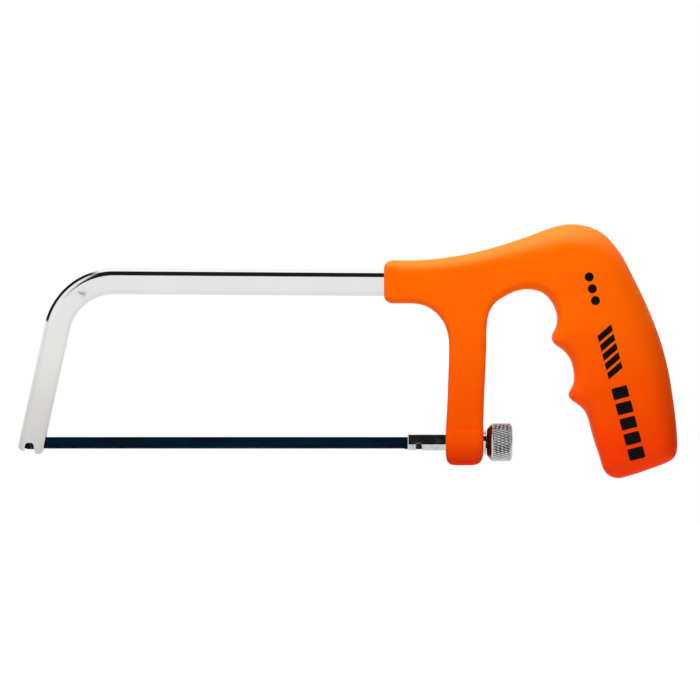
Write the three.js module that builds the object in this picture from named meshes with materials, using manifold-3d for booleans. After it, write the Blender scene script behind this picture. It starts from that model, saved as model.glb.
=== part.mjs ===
// A junior hacksaw: a bent flat steel bar, a moulded handle in two halves, and a thin pinned
// blade stretched between a slot in the front arm and a drawbar pulled by a knurled nut.
// Millimetres, +Z up. The blade lies along X with the handle at +X, teeth down, and the whole
// saw is symmetric about the plane Y = 0. The origin is under the middle of its bounding box,
// level with the lowest point of the grip.

import * as THREE from 'three';
import { mergeVertices } from 'three/addons/utils/BufferGeometryUtils.js';
import Module from 'manifold-3d';

const wasm = await Module();
wasm.setup();

// ---- driving dimensions ----

const FIT = 0.3; // clearance between separate pieces

const BAR_HEIGHT = 9.7; // frame bar, in the plane of the saw
const BAR_THICKNESS = 6.5;
const BAR_EDGE = 2.5; // rounded long edges of the bar
const FOOT_ROUND = 2; // corners of the arm's cut end
const ARM_FOOT = new THREE.Vector2(-119.8, 9.8); // middle of the front arm's cut end
const ARM_CORNER = new THREE.Vector2(-105.6, 74.35); // where the arm and the top would meet
const LEG_CORNER = new THREE.Vector2(46.0, 73.3); // where the top and the rear leg would meet
const LEG_FOOT = new THREE.Vector2(44.3, 18.9);
const FRONT_BEND = 22; // bend radii along the middle of the bar
const REAR_BEND = 12;
const CROSS_PIN_RADIUS = 1.5;
const CROSS_PIN_LENGTH = 10;

const AXIS_Z = 13.5; // height of the drawbar's axis
const BLADE_TOP = 15.5;
const TOOTH_TIP = 10.9;
const TOOTH_DEPTH = 0.45;
const TOOTH_PITCH = 25.4 / 32;
const TOOTH_FACE = 0.7; // the long back of a tooth; its short cutting face looks forward
const BLADE_THICKNESS = 0.65;
const BLADE_SLOT = BLADE_THICKNESS + 2 * FIT;
const PIN_RADIUS = 0.85;
const PIN_Z = 12.2;
const PIN_HOLE_CLEARANCE = 0.12; // around each pin in the blade itself
const PIN_SPACING = 146.2;
const REAR_PIN_X = 26.8;
const FRONT_PIN_X = REAR_PIN_X - PIN_SPACING;
const BLADE_TAIL = 3.2; // blade beyond each pin
const PLAIN_END = 4.5; // toothless length beside each pin
const SLACK = 1.0; // how far the drawbar lets the blade go forward

const DRAWBAR_SIDE = 6; // square section of the drawbar
const DRAWBAR_FRONT = 22.6;
const DRAWBAR_SHOULDER = 43.4; // where the square turns into the round stud
const STUD_RADIUS = 2.5;
const STUD_END = 60.0;

const NUT_FRONT = 52.4;
const NUT_NECK_RADIUS = 5.3;
const NUT_RADIUS = 7.15;
const NUT_SHOULDER = 54.2; // end of the conical shoulder
const NUT_KNURL_END = 61.4;
const NUT_END = 62.1;
const NUT_END_RADIUS = 6;
const KNURL_RIDGES = 36;
const KNURL_DEPTH = 0.4;

const BOSS_FRONT = 36.8;
const BOSS_REAR = 51.4;
const WALL = 1.2; // plastic in front of the guide
const GUIDE_SIDE = 9.4;
const GUIDE_LENGTH = 5;
const BUSH_RADIUS = 4;
const BUSH_FLANGE_RADIUS = 4.8;
const BUSH_FRONT = 44.4;
const BUSH_REAR = 50.5;
const BUSH_FLANGE = 1.4;
const WASHER_RADIUS = 4.6;
const WASHER_THICKNESS = 1.3;
const WASHER_FRONT = BUSH_REAR + FIT;

const SLEEVE_FRONT = 13.7;
const BARE_END = SLEEVE_FRONT - 0.7;
const SLEEVE_CORNER = 2.9;
const SLEEVE_TOP = 82.1;
const SLEEVE_BOTTOM = 65.9;
const STRUT_HALF_THICKNESS = 7.4;
const BOSS_HALF_THICKNESS = 8.2;
const GRIP_HALF_THICKNESS = 13;
const STRUT_EDGE = 2.6; // rounding of the outer edges
const GRIP_EDGE = 8;
const SAMPLE = 3.2; // longest step along the handle's outline
const PARTING = 0.15; // each half stops this far from the middle plane
const GRIP_WALL = 3.2; // plastic over the hollow in the grip
const RIB = 1.8;
const PEG_RADIUS = 2;
const PEG_REACH = 4; // how far a peg crosses the middle plane
const PEG_BOSS_RADIUS = 4.2;

// ---- solids ----

function solid(geometry) {
  const bare = geometry.clone();
  bare.deleteAttribute('normal');
  bare.deleteAttribute('uv');
  const merged = mergeVertices(bare);
  return new wasm.Manifold(new wasm.Mesh({
    numProp: 3,
    vertProperties: merged.attributes.position.array,
    triVerts: Uint32Array.from(merged.index.array),
  }));
}

function geometryOf(body) {
  const { vertProperties, triVerts } = body.getMesh();
  const geometry = new THREE.BufferGeometry();
  geometry.setAttribute('position', new THREE.BufferAttribute(vertProperties, 3));
  geometry.setIndex(new THREE.BufferAttribute(triVerts, 1));
  return geometry;
}

function cut(body, tools) {
  return tools.reduce((left, tool) => left.subtract(tool), body);
}

// An outline drawn in the X-Z plane, given a thickness across Y about the middle plane.
function slab(shape, thickness, edge = 0, curveSegments = 10) {
  const geometry = new THREE.ExtrudeGeometry(shape, {
    depth: thickness - 2 * edge,
    curveSegments,
    bevelEnabled: edge > 0,
    bevelThickness: edge,
    bevelSize: edge,
    bevelOffset: -edge,
    bevelSegments: 2,
  });
  geometry.rotateX(Math.PI / 2);
  geometry.translate(0, thickness / 2 - edge, 0);
  return geometry;
}

function box(x0, x1, y0, y1, z0, z1) {
  const geometry = new THREE.BoxGeometry(x1 - x0, y1 - y0, z1 - z0);
  geometry.translate((x0 + x1) / 2, (y0 + y1) / 2, (z0 + z1) / 2);
  return geometry;
}

// A square bar along X, centred on the drawbar's axis.
function squareBar(x0, x1, side) {
  return box(x0, x1, -side / 2, side / 2, AXIS_Z - side / 2, AXIS_Z + side / 2);
}

// A round pin across Y from y0 to y1.
function crossRod(x, z, radius, y0, y1) {
  const geometry = new THREE.CylinderGeometry(radius, radius, y1 - y0, 20);
  geometry.translate(x, (y0 + y1) / 2, z);
  return geometry;
}

// A body turned about the drawbar's axis from [x, radius] pairs.
function turned(profile, segments = 32) {
  const points = profile.map(([x, radius]) => new THREE.Vector2(radius, x));
  const geometry = new THREE.LatheGeometry(points, segments);
  geometry.rotateZ(-Math.PI / 2);
  geometry.translate(0, 0, AXIS_Z);
  return geometry;
}

function rod(x0, x1, radius, segments = 32) {
  return turned([[x0, 0], [x0, radius], [x1, radius], [x1, 0]], segments);
}

// ---- frame bar ----

// The arc that rounds the corner between two straight runs of the bar. Both bends turn right.
function bend(before, corner, after, radius) {
  const arriving = corner.clone().sub(before).normalize();
  const leaving = after.clone().sub(corner).normalize();
  const turn = Math.acos(arriving.dot(leaving));
  const start = corner.clone().addScaledVector(arriving, -radius * Math.tan(turn / 2));
  const rightward = new THREE.Vector2(arriving.y, -arriving.x);
  const centre = start.addScaledVector(rightward, radius);
  const from = Math.atan2(-rightward.y, -rightward.x);
  return { centre, radius, from, to: from - turn };
}

// A point on the edge of the bar's top run, at the given x along its middle line.
function barPoint(x, across) {
  const along = LEG_CORNER.clone().sub(ARM_CORNER).normalize();
  const side = new THREE.Vector2(-along.y, along.x);
  return ARM_CORNER.clone()
    .addScaledVector(along, (x - ARM_CORNER.x) / along.x)
    .addScaledVector(side, across);
}

// The bar seen from the side. The arm and the leg can run on past their feet, and the corners
// of the arm's foot can be rounded. The outline has a point in front of the handle, so that the
// bare run of the bar has faces of its own.
function barOutline({ halfHeight = BAR_HEIGHT / 2, armExtra = 0, legExtra = 0, round = 0 }) {
  const armUp = ARM_CORNER.clone().sub(ARM_FOOT).normalize();
  const legDown = LEG_FOOT.clone().sub(LEG_CORNER).normalize();
  const armFoot = ARM_FOOT.clone().addScaledVector(armUp, -armExtra);
  const legFoot = LEG_FOOT.clone().addScaledVector(legDown, legExtra);
  const front = bend(armFoot, ARM_CORNER, LEG_CORNER, FRONT_BEND);
  const rear = bend(ARM_CORNER, LEG_CORNER, legFoot, REAR_BEND);
  const armSide = new THREE.Vector2(-armUp.y, armUp.x);
  const legSide = new THREE.Vector2(-legDown.y, legDown.x);

  const shape = new THREE.Shape();
  const to = (foot, side, across, upward, rise) => foot.clone()
    .addScaledVector(side, across)
    .addScaledVector(upward, rise);
  const outerStart = to(armFoot, armSide, halfHeight, armUp, round);
  const outerBare = barPoint(BARE_END, halfHeight);
  const innerBare = barPoint(BARE_END, -halfHeight);
  shape.moveTo(outerStart.x, outerStart.y);
  shape.absarc(front.centre.x, front.centre.y, front.radius + halfHeight, front.from, front.to, true);
  shape.lineTo(outerBare.x, outerBare.y);
  shape.absarc(rear.centre.x, rear.centre.y, rear.radius + halfHeight, rear.from, rear.to, true);
  const legOuter = to(legFoot, legSide, halfHeight, legDown, 0);
  const legInner = to(legFoot, legSide, -halfHeight, legDown, 0);
  shape.lineTo(legOuter.x, legOuter.y);
  shape.lineTo(legInner.x, legInner.y);
  shape.absarc(rear.centre.x, rear.centre.y, rear.radius - halfHeight, rear.to, rear.from, false);
  shape.lineTo(innerBare.x, innerBare.y);
  shape.absarc(front.centre.x, front.centre.y, front.radius - halfHeight, front.to, front.from, false);
  const innerStart = to(armFoot, armSide, -halfHeight, armUp, round);
  shape.lineTo(innerStart.x, innerStart.y);
  const upAngle = Math.atan2(armUp.y, armUp.x);
  const innerCentre = to(armFoot, armSide, round - halfHeight, armUp, round);
  const outerCentre = to(armFoot, armSide, halfHeight - round, armUp, round);
  if (round > 0) {
    shape.absarc(innerCentre.x, innerCentre.y, round, upAngle - Math.PI / 2, upAngle - Math.PI, true);
    shape.absarc(outerCentre.x, outerCentre.y, round, upAngle + Math.PI, upAngle + Math.PI / 2, true);
  } else {
    const outerFoot = to(armFoot, armSide, halfHeight, armUp, 0);
    shape.lineTo(outerFoot.x, outerFoot.y);
  }
  return shape;
}

// A notch across Y that a blade pin drops out of, from the pin's seat down past the metal.
// The seat is long enough for the pin to move forward by the given slack.
function pinNotch(pinX, slack, bottom, flare) {
  const half = PIN_RADIUS + FIT;
  const shape = new THREE.Shape();
  shape.moveTo(pinX + half + flare, bottom);
  shape.lineTo(pinX + half, PIN_Z);
  shape.absarc(pinX, PIN_Z, half, 0, Math.PI / 2, false);
  shape.absarc(pinX - slack, PIN_Z, half, Math.PI / 2, Math.PI, false);
  shape.lineTo(pinX - slack - half - flare, bottom);
  return slab(shape, 2 * BAR_THICKNESS, 0, 5);
}

const CROSS_PINS = {
  cross_pin_sleeve: [25, 73.45],
  cross_pin_leg_upper: [45.3, 51],
  cross_pin_leg_lower: [44.6, 27],
};

function makeFrameBar() {
  const stock = barOutline({ armExtra: 2 * BAR_EDGE, legExtra: 2 * BAR_EDGE });
  const sawnOff = barOutline({ halfHeight: BAR_HEIGHT / 2 + 0.01, round: FOOT_ROUND });
  const bar = solid(slab(stock, BAR_THICKNESS, BAR_EDGE))
    .intersect(solid(slab(sawnOff, 2 * BAR_THICKNESS)));
  const slotTop = BLADE_TOP + 2 * FIT;
  const bladeSlot = box(-130, -105, -BLADE_SLOT / 2, BLADE_SLOT / 2, 0, slotTop);
  const holes = Object.values(CROSS_PINS).map(([x, z]) =>
    solid(crossRod(x, z, CROSS_PIN_RADIUS + FIT, -BAR_THICKNESS, BAR_THICKNESS)));
  return geometryOf(cut(bar, [
    solid(bladeSlot),
    solid(pinNotch(FRONT_PIN_X, SLACK, 5, 0.4)),
    ...holes,
  ]));
}

function makeCrossPin(x, z) {
  return crossRod(x, z, CROSS_PIN_RADIUS, -CROSS_PIN_LENGTH / 2, CROSS_PIN_LENGTH / 2);
}

// ---- blade ----

function makeBladeStrip() {
  const front = FRONT_PIN_X - BLADE_TAIL;
  const rear = REAR_PIN_X + BLADE_TAIL;
  const root = TOOTH_TIP + TOOTH_DEPTH;
  const firstTooth = FRONT_PIN_X + PLAIN_END;
  const toothed = PIN_SPACING - 2 * PLAIN_END;
  const teeth = Math.floor(toothed / TOOTH_PITCH);
  const shape = new THREE.Shape();
  shape.moveTo(front, TOOTH_TIP);
  shape.lineTo(firstTooth, TOOTH_TIP);
  for (let tooth = 0; tooth < teeth; tooth += 1) {
    const x = firstTooth + tooth * TOOTH_PITCH;
    shape.lineTo(x + TOOTH_FACE, root);
    shape.lineTo(x + TOOTH_PITCH, TOOTH_TIP);
  }
  shape.lineTo(rear, TOOTH_TIP);
  shape.lineTo(rear, BLADE_TOP);
  shape.lineTo(front, BLADE_TOP);
  const strip = solid(slab(shape, BLADE_THICKNESS));
  const holes = [FRONT_PIN_X, REAR_PIN_X].map((x) =>
    solid(crossRod(x, PIN_Z, PIN_RADIUS + PIN_HOLE_CLEARANCE, -2, 2)));
  return geometryOf(cut(strip, holes));
}

function makeBladePin(x) {
  return crossRod(x, PIN_Z, PIN_RADIUS, -BAR_THICKNESS / 2 + 0.3, BAR_THICKNESS / 2 - 0.3);
}

// ---- blade tension ----

function makeDrawbar() {
  const side = DRAWBAR_SIDE;
  const body = solid(squareBar(DRAWBAR_FRONT, DRAWBAR_SHOULDER, side));
  const stud = solid(rod(DRAWBAR_SHOULDER - 2, STUD_END, STUD_RADIUS, 24));
  const slotEnd = REAR_PIN_X + BLADE_TAIL + 2 * FIT;
  const bladeSlot = box(DRAWBAR_FRONT - 1, slotEnd, -BLADE_SLOT / 2, BLADE_SLOT / 2, 5, 25);
  return geometryOf(cut(body.add(stud), [
    solid(bladeSlot),
    solid(pinNotch(REAR_PIN_X, 0, 5, 0)),
  ]));
}

function makeDrawbarGuide() {
  const front = BOSS_FRONT + WALL;
  const block = solid(squareBar(front, front + GUIDE_LENGTH, GUIDE_SIDE));
  return geometryOf(block.subtract(solid(squareBar(0, 60, DRAWBAR_SIDE + 2 * FIT))));
}

function makeThrustBush() {
  const bore = STUD_RADIUS + FIT;
  return turned([
    [BUSH_FRONT, bore],
    [BUSH_FRONT, BUSH_RADIUS],
    [BUSH_REAR - BUSH_FLANGE, BUSH_RADIUS],
    [BUSH_REAR - BUSH_FLANGE, BUSH_FLANGE_RADIUS],
    [BUSH_REAR, BUSH_FLANGE_RADIUS],
    [BUSH_REAR, bore],
    [BUSH_FRONT, bore],
  ]);
}

function makeThrustWasher() {
  const bore = STUD_RADIUS + FIT;
  const rear = WASHER_FRONT + WASHER_THICKNESS;
  return turned([
    [WASHER_FRONT, bore],
    [WASHER_FRONT, WASHER_RADIUS],
    [rear, WASHER_RADIUS],
    [rear, bore],
    [WASHER_FRONT, bore],
  ]);
}

function makeTensionNut() {
  const shape = new THREE.Shape();
  for (let corner = 0; corner < 2 * KNURL_RIDGES; corner += 1) {
    const angle = (corner * Math.PI) / KNURL_RIDGES;
    const radius = NUT_RADIUS - (corner % 2) * KNURL_DEPTH;
    const point = [radius * Math.cos(angle), radius * Math.sin(angle)];
    if (corner === 0) shape.moveTo(...point);
    else shape.lineTo(...point);
  }
  const ridges = new THREE.ExtrudeGeometry(shape, {
    depth: NUT_KNURL_END - NUT_SHOULDER,
    bevelEnabled: false,
  });
  ridges.rotateY(Math.PI / 2);
  ridges.translate(NUT_SHOULDER, 0, AXIS_Z);
  const core = turned([
    [NUT_FRONT, 0],
    [NUT_FRONT, NUT_NECK_RADIUS],
    [NUT_SHOULDER, NUT_RADIUS - KNURL_DEPTH],
    [NUT_KNURL_END, NUT_RADIUS - KNURL_DEPTH],
    [NUT_END, NUT_END_RADIUS],
    [NUT_END, 0],
  ]);
  const bore = rod(NUT_FRONT - 1, STUD_END + 2 * FIT, STUD_RADIUS + FIT, 24);
  return geometryOf(solid(core).add(solid(ridges)).subtract(solid(bore)));
}

// ---- handle ----

// The handle's outline, anticlockwise seen with +X right and +Z up, from the sleeve's lower
// front corner. Each stretch is a run of points that a smooth curve passes through.
function handleOutline() {
  const path = new THREE.Path();
  const along = (...points) => path.splineThru(points.map(([x, z]) => new THREE.Vector2(x, z)));
  const corner = SLEEVE_CORNER;

  // sleeve underside and the fillet into the strut
  path.moveTo(SLEEVE_FRONT + corner, SLEEVE_BOTTOM);
  path.lineTo(25, SLEEVE_BOTTOM);
  along([29.3, 65], [33.4, 62.5], [36.7, 58.2], [38.2, 53], [38.5, 49]);
  // strut and boss
  path.lineTo(37.7, 23);
  along([37.2, 20.3], [BOSS_FRONT, 17.5], [BOSS_FRONT, 10]);
  along([37.2, 7], [38.4, 5.5], [41, 5]);
  path.lineTo(46.4, 5);
  along([48.7, 5.6], [50.2, 7.2], [51.1, 9.6]);
  path.lineTo(BOSS_REAR, 12);
  path.lineTo(51.3, 18);
  path.lineTo(50.9, 21);
  path.lineTo(51.3, 33);
  path.lineTo(52.1, 50);
  // arch over the index finger
  along([52.2, 56], [52.8, 61.5], [55.2, 65.9], [60.8, 69.5], [64.5, 70.9],
    [68.2, 71.3], [72, 70.6], [75.2, 68.6], [77.8, 65], [79, 60.5], [78.7, 56.8]);
  // ridge, middle-finger groove, ridge
  along([77.5, 54.2], [77.3, 52.2], [78.5, 50.2], [81.4, 48.3], [83.8, 45.2],
    [85.2, 40.5], [85.3, 36], [84, 33.3]);
  along([83.5, 31.4], [84.6, 29.4], [87.4, 27.6], [89.8, 25], [91.2, 21.3]);
  // lower grooves fade into the straight front of the grip
  along([92.2, 17], [93.7, 12.5], [95.2, 8], [96.4, 3.8], [98.2, 1.3], [101.6, 0]);
  // foot of the grip
  along([107.2, 1.4], [113.2, 3.4], [119.3, 5.7], [122.5, 7.5], [123.9, 10], [124.2, 14]);
  // back of the grip, up to the hump
  along([123.5, 22], [122.3, 31], [120.6, 41], [117.4, 52.8], [112.6, 65],
    [107.2, 76.3], [102.9, 84.3], [98.4, 90]);
  along([94.8, 93], [90, 94.9], [84.6, 95.8], [79.5, 95.2], [74, 93.4]);
  // top line down to the sleeve
  along([66.5, 90.4], [56, 87.1], [46.5, 84.7], [37, 83.1], [30, SLEEVE_TOP + 0.2],
    [26, SLEEVE_TOP]);
  path.lineTo(SLEEVE_FRONT + corner, SLEEVE_TOP);
  path.absarc(SLEEVE_FRONT + corner, SLEEVE_TOP - corner, corner, Math.PI / 2, Math.PI, false);
  path.absarc(SLEEVE_FRONT + corner, SLEEVE_BOTTOM + corner, corner, Math.PI, 1.5 * Math.PI, false);
  return path;
}

const smooth = (from, to, value) => THREE.MathUtils.smoothstep(value, from, to);

// How much a place belongs to the thick grip, from 0 on the strut to 1 behind the fingers.
const gripShare = (x) => smooth(54, 84, x);

function halfThickness(x, z) {
  const boss = (1 - smooth(18.5, 21.5, z)) * (1 - smooth(54, 60, x));
  return STRUT_HALF_THICKNESS
    + boss * (BOSS_HALF_THICKNESS - STRUT_HALF_THICKNESS)
    + gripShare(x) * (GRIP_HALF_THICKNESS - STRUT_HALF_THICKNESS);
}

const edgeRadius = (x) => STRUT_EDGE + gripShare(x) * (GRIP_EDGE - STRUT_EDGE);

// Directions into the material at each outline point, evened out along the outline so that
// rings set in from it never cross at a sharp ridge.
function inwardDirections(points) {
  const count = points.length;
  const at = (list, index) => list[(index + count) % count];
  let directions = points.map((point, index) => {
    const along = at(points, index + 1).clone().sub(at(points, index - 1)).normalize();
    return new THREE.Vector2(-along.y, along.x);
  });
  for (let pass = 0; pass < 10; pass += 1) {
    directions = directions.map((direction, index) => direction.clone()
      .multiplyScalar(2)
      .add(at(directions, index - 1))
      .add(at(directions, index + 1))
      .normalize());
  }
  return directions;
}

function handlePoints() {
  const points = handleOutline().curves.flatMap((curve) => {
    const straight = curve.isLineCurve;
    const steps = straight ? 1 : Math.max(2, Math.ceil(curve.getLength() / SAMPLE));
    return curve.getSpacedPoints(steps).slice(0, -1);
  });
  return points.filter((point, index) => {
    const next = points[(index + 1) % points.length];
    return point.distanceTo(next) > 0.05;
  });
}

// One half of the handle as a plain solid on the +Y side: straight walls from the middle
// plane, then rings that follow a quarter circle in to the flat outer face.
function handleHalf() {
  const outline = handlePoints();
  const inward = inwardDirections(outline);
  const quarter = [0, 45, 90].map((degrees) => (degrees * Math.PI) / 180);
  const ring = (angle) => outline.map((point, index) => {
    const radius = edgeRadius(point.x);
    const inset = radius * (1 - Math.cos(angle));
    const place = point.clone().addScaledVector(inward[index], inset);
    const y = halfThickness(point.x, point.y) - radius * (1 - Math.sin(angle));
    return [place.x, y, place.y];
  });
  const rings = [outline.map((point) => [point.x, PARTING, point.y]), ...quarter.map(ring)];
  return skin(rings);
}

// A closed surface over a stack of rings with the same number of points, capped at both ends.
function skin(rings) {
  const count = rings[0].length;
  const cap = (ring) => THREE.ShapeUtils.triangulateShape(
    ring.map(([x, , z]) => new THREE.Vector2(x, z)), []);
  const index = [];
  for (const [a, b, c] of cap(rings[0])) index.push(a, b, c);
  for (let level = 0; level + 1 < rings.length; level += 1) {
    for (let here = 0; here < count; here += 1) {
      const next = (here + 1) % count;
      const low = level * count;
      const high = low + count;
      index.push(low + here, high + here, low + next);
      index.push(low + next, high + here, high + next);
    }
  }
  const top = (rings.length - 1) * count;
  for (const [a, b, c] of cap(rings[rings.length - 1])) index.push(top + a, top + c, top + b);
  const geometry = new THREE.BufferGeometry();
  geometry.setAttribute('position', new THREE.Float32BufferAttribute(rings.flat(2), 3));
  geometry.setIndex(index);
  return geometry;
}

// The hollow inside the grip, within one half.
function gripHollow() {
  const shape = new THREE.Shape();
  shape.moveTo(100, 7);
  const along = (...points) => shape.splineThru(points.map(([x, z]) => new THREE.Vector2(x, z)));
  along([115, 12], [117, 24], [113, 44], [104, 68], [96, 82], [86, 88], [78, 84]);
  along([77, 77], [84, 68], [86, 56], [91, 46], [92.5, 34], [97, 22], [98.5, 12], [100, 7]);
  const depth = GRIP_HALF_THICKNESS - GRIP_WALL;
  return slab(shape, 2 * depth, 0, 4);
}

const PEGS = [[82, 81], [98, 60], [108, 18]];
const RIBS = [[34, 34 + RIB], [70, 70 + RIB]];

function gripPockets() {
  const ribs = RIBS.map(([low, high]) => solid(box(60, 130, -20, 20, low, high)));
  const bosses = PEGS.map(([x, z]) => solid(crossRod(x, z, PEG_BOSS_RADIUS, -20, 20)));
  return cut(solid(gripHollow()), [...ribs, ...bosses]);
}

// Everything that both halves leave room for.
function handleRoom() {
  const loose = 2 * FIT;
  const channel = slab(barOutline({ halfHeight: BAR_HEIGHT / 2 + FIT, legExtra: FIT }), BAR_THICKNESS + loose);
  const guideFront = BOSS_FRONT + WALL - FIT;
  const pins = Object.values(CROSS_PINS).map(([x, z]) => crossRod(
    x, z, CROSS_PIN_RADIUS + FIT, -CROSS_PIN_LENGTH / 2 - FIT, CROSS_PIN_LENGTH / 2 + FIT));
  return [
    channel,
    squareBar(BOSS_FRONT - 5, DRAWBAR_SHOULDER + FIT, DRAWBAR_SIDE + loose),
    squareBar(guideFront, guideFront + GUIDE_LENGTH + loose, GUIDE_SIDE + loose),
    rod(DRAWBAR_SHOULDER - 1, BUSH_FRONT, STUD_RADIUS + FIT),
    rod(BUSH_FRONT - FIT, BUSH_REAR - BUSH_FLANGE - FIT, BUSH_RADIUS + FIT),
    rod(BUSH_REAR - BUSH_FLANGE - FIT, BOSS_REAR + 5, BUSH_FLANGE_RADIUS + FIT),
    ...pins,
  ].map(solid);
}

// side is -1 for the left half and 1 for the right half. The left half carries the pegs.
function makeHandleShell(side) {
  const half = solid(handleHalf());
  const placed = side > 0 ? half : half.mirror([0, 1, 0]);
  const hollowed = cut(placed, [gripPockets(), ...handleRoom()]);
  if (side > 0) {
    const sockets = PEGS.map(([x, z]) => solid(
      crossRod(x, z, PEG_RADIUS + FIT, -1, PEG_REACH + FIT)));
    return geometryOf(cut(hollowed, sockets));
  }
  const pegs = PEGS.map(([x, z]) => solid(crossRod(x, z, PEG_RADIUS, -2, PEG_REACH)));
  return geometryOf(pegs.reduce((body, peg) => body.add(peg), hollowed));
}

// ---- the saw ----

const finish = (color, metalness, roughness) =>
  new THREE.MeshStandardMaterial({ color, metalness, roughness });

const NICKEL = () => finish(0xd9d8d4, 1, 0.2);
const ORANGE = () => finish(0xfa6400, 0, 0.42);
const BLADE_STEEL = () => finish(0x0a1820, 0.6, 0.4);
const PLAIN_STEEL = () => finish(0x9a9c9e, 1, 0.35);

const saw = new THREE.Group();
saw.name = 'hacksaw';

function addPiece(name, geometry, material) {
  const mesh = new THREE.Mesh(geometry, material);
  mesh.name = name;
  saw.add(mesh);
}

addPiece('frame_bar', makeFrameBar(), NICKEL());
addPiece('handle_shell_left', makeHandleShell(-1), ORANGE());
addPiece('handle_shell_right', makeHandleShell(1), ORANGE());
for (const [name, [x, z]] of Object.entries(CROSS_PINS)) {
  addPiece(name, makeCrossPin(x, z), PLAIN_STEEL());
}
addPiece('drawbar_guide', makeDrawbarGuide(), PLAIN_STEEL());
addPiece('thrust_bush', makeThrustBush(), PLAIN_STEEL());
addPiece('thrust_washer', makeThrustWasher(), NICKEL());
addPiece('drawbar', makeDrawbar(), NICKEL());
addPiece('tension_nut', makeTensionNut(), NICKEL());
addPiece('blade_strip', makeBladeStrip(), BLADE_STEEL());
addPiece('blade_pin_front', makeBladePin(FRONT_PIN_X), PLAIN_STEEL());
addPiece('blade_pin_rear', makeBladePin(REAR_PIN_X), PLAIN_STEEL());

export default saw;
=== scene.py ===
import math

import bmesh
import bpy
import numpy as np
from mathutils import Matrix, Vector, kdtree
from mathutils.geometry import delaunay_2d_cdt


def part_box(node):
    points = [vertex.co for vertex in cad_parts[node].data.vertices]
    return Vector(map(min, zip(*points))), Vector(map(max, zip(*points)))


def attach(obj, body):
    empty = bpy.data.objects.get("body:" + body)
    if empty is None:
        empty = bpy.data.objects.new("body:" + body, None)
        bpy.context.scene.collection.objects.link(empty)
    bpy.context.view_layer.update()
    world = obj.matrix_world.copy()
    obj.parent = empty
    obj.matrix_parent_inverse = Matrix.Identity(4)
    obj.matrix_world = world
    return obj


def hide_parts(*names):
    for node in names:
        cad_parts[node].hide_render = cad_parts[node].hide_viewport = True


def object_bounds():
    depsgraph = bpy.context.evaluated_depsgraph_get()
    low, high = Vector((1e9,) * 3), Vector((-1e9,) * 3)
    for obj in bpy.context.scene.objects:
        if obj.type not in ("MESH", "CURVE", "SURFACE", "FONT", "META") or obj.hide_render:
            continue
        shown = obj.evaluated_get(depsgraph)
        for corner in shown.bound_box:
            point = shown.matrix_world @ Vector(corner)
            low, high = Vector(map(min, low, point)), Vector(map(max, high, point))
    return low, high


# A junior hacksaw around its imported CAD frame. Lengths in this script are in millimetres
# until a mesh is made, X along the blade, Z up, and Y across the saw.

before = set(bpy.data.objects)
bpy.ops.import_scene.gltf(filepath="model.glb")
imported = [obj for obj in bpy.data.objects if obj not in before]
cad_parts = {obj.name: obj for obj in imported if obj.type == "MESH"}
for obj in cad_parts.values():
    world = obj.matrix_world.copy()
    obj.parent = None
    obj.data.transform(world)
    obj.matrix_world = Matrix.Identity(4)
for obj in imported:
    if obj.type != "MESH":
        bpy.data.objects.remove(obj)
cad_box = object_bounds()

MM = 0.001

# ---- sizes ----

BAR_HALF_HEIGHT = 4.85
BAR_HALF_THICKNESS = 3.25
BAR_EDGE = (3.1, 2.2)  # the rounding's reach down the side and across the top
ARM_FOOT = (-119.8, 9.8)
ARM_CORNER = (-105.6, 74.35)
LEG_CORNER = (46.0, 73.3)
LEG_FOOT = (44.3, 18.9)
FRONT_BEND = 22
REAR_BEND = 12
FOOT_ROUND = 2.0

PARTING = 0.01  # each handle half stops this far from the middle plane
GRIP_STEP = 0.7  # grid step of the handle's surface

TOOTH_PITCH = 25.4 / 32
TOOTH_DEPTH = 0.45
TOOTH_FACE = 0.7
PLAIN_END = 4.5
BLADE_END_ROUND = 2.3
WAVE_TEETH = 8  # teeth in one wave of the set
WAVE_SET = 0.16

THREAD_PITCH = 0.8
KNURL_PITCH = 1.05
KNURL_DEPTH = 0.42
KNURL_LEAN = 0.36
KNURL_SAMPLES = 6

OVERHEAD = 1.05  # brightness of the studio's ceiling in the plating
BLACK = 0.012  # brightness of its dark cards
AMBIENT = 0.017  # soft light from the sides
FLOOR_DROP = 150  # clears the blade when it hangs from its rear pin
FLOOR_HALF = 6000


def node_box(node):
    """A CAD node's lowest and highest corners, in millimetres."""
    low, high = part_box(node)
    return np.array(low) / MM, np.array(high) / MM


nut_low, nut_high = node_box("tension_nut")
drawbar_low, drawbar_high = node_box("drawbar")
blade_low, blade_high = node_box("blade_strip")
front_pin_low, front_pin_high = node_box("blade_pin_front")
rear_pin_low, rear_pin_high = node_box("blade_pin_rear")
washer_low, washer_high = node_box("thrust_washer")
bush_low, bush_high = node_box("thrust_bush")
guide_low, guide_high = node_box("drawbar_guide")
AXIS_Z = (nut_low[2] + nut_high[2]) / 2
PIN_Z = (rear_pin_low[2] + rear_pin_high[2]) / 2
PIN_RADIUS = (rear_pin_high[2] - rear_pin_low[2]) / 2
FRONT_PIN_X = (front_pin_low[0] + front_pin_high[0]) / 2
REAR_PIN_X = (rear_pin_low[0] + rear_pin_high[0]) / 2
NUT_RADIUS = (nut_high[2] - nut_low[2]) / 2
WASHER_RADIUS = (washer_high[2] - washer_low[2]) / 2
DRAWBAR_HALF = (drawbar_high[2] - drawbar_low[2]) / 2
STUD_RADIUS = 2.5
SLACK = 1.0  # room in front of the blade's front pin
FIT = 0.3  # room around what slides, turns or passes through
BORE = STUD_RADIUS + FIT
SLOT_HALF = (blade_high[1] - blade_low[1]) / 2 + FIT
CLEAR = 9  # how far cutters for the metal pieces reach across the saw
CROSS_PINS = ("cross_pin_sleeve", "cross_pin_leg_upper", "cross_pin_leg_lower")


# ---- materials ----


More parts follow.
